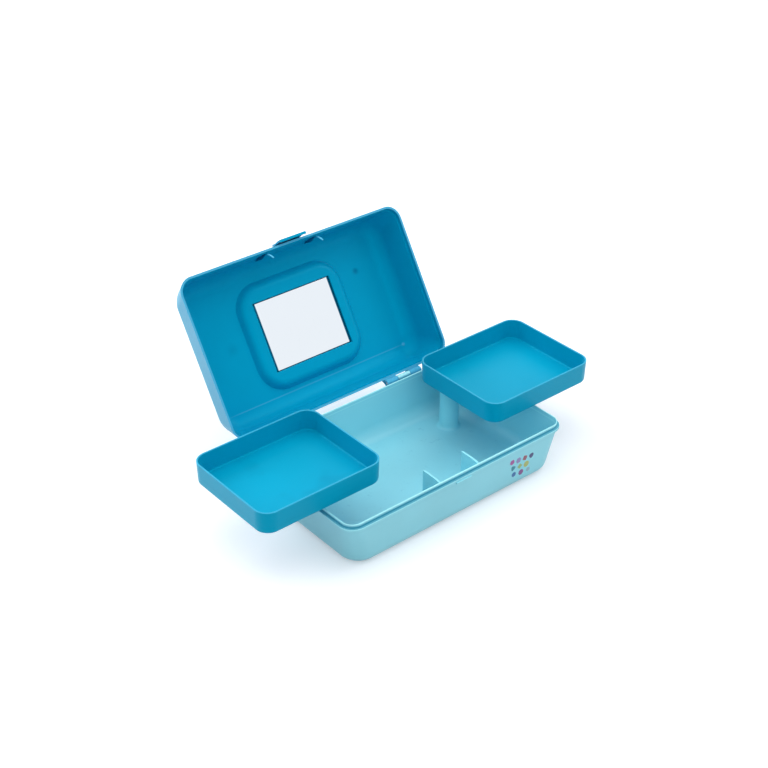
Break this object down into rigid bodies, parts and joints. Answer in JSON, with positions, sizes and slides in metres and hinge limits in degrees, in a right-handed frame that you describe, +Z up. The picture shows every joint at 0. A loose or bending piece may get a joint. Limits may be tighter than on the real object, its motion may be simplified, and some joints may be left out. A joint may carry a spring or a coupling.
{
  "type": "makeup case",
  "caption": "Small moulded makeup case with a hinged lid, a mirror in the lid and trays that swing out on posts.",
  "frame": {"origin": "middle of the base's flat underside", "axes": "+X along the case towards the right-hand tray, +Y towards the hinges, +Z up"},
  "size_m": [0.362, 0.2567, 0.1773],
  "materials": {
    "base_plastic": "satin moulded polypropylene, pale aqua",
    "lid_plastic": "satin moulded polypropylene, ocean blue",
    "tray_plastic": "satin moulded polypropylene, ocean blue",
    "washer_plastic": "natural nylon",
    "pin_steel": "drawn wire",
    "mirror": "silvered plate",
    "foam": "white foam tape"
  },
  "bodies": {
    "base": {"base_shell": "base_plastic", "left_post": "base_plastic", "right_post": "base_plastic", "left_divider": "base_plastic", "right_divider": "base_plastic", "left_post_washer": "washer_plastic", "right_post_washer": "washer_plastic", "left_hinge_pin": "pin_steel", "right_hinge_pin": "pin_steel"},
    "lid": {"lid_shell": "lid_plastic", "mirror_glass": "mirror", "mirror_foam": "foam", "latch_pin": "pin_steel", "left_handle_pin": "pin_steel", "right_handle_pin": "pin_steel"},
    "right_tray_body": {"right_tray": "tray_plastic", "right_tray_pin": "pin_steel"},
    "left_tray_body": {"left_tray": "tray_plastic", "left_tray_pin": "pin_steel"},
    "latch_body": {"latch": "lid_plastic"},
    "handle_body": {"carry_handle": "lid_plastic"}
  },
  "joints": [
    {"name": "lid_hinge", "type": "hinge", "parent": "base", "child": "lid", "pos_m": [0, 0.0772, 0.0441], "axis": [1, 0, 0], "range_deg": [0, 122.3]},
    {"name": "right_tray_swing", "type": "hinge", "parent": "base", "child": "right_tray_body", "pos_m": [0.084, 0.0372, 0], "axis": [0, 0, 1], "range_deg": [-90, 0]},
    {"name": "left_tray_swing", "type": "hinge", "parent": "base", "child": "left_tray_body", "pos_m": [-0.084, 0.0372, 0], "axis": [0, 0, 1], "range_deg": [0, 90]},
    {"name": "latch_flip", "type": "hinge", "parent": "lid", "child": "latch_body", "pos_m": [0, 0.16582, 0.16707], "axis": [1, 0, 0], "range_deg": [-75, 3.6]},
    {"name": "handle_lift", "type": "hinge", "parent": "lid", "child": "handle_body", "pos_m": [0, 0.14787, 0.09076], "axis": [1, 0, 0], "range_deg": [-32.3, 147.7]}
  ],
  "couplings": [
    {"joint": "right_tray_swing", "follows": "lid_hinge", "ratio": -0.73589},
    {"joint": "left_tray_swing", "follows": "lid_hinge", "ratio": 0.73589}
  ]
}
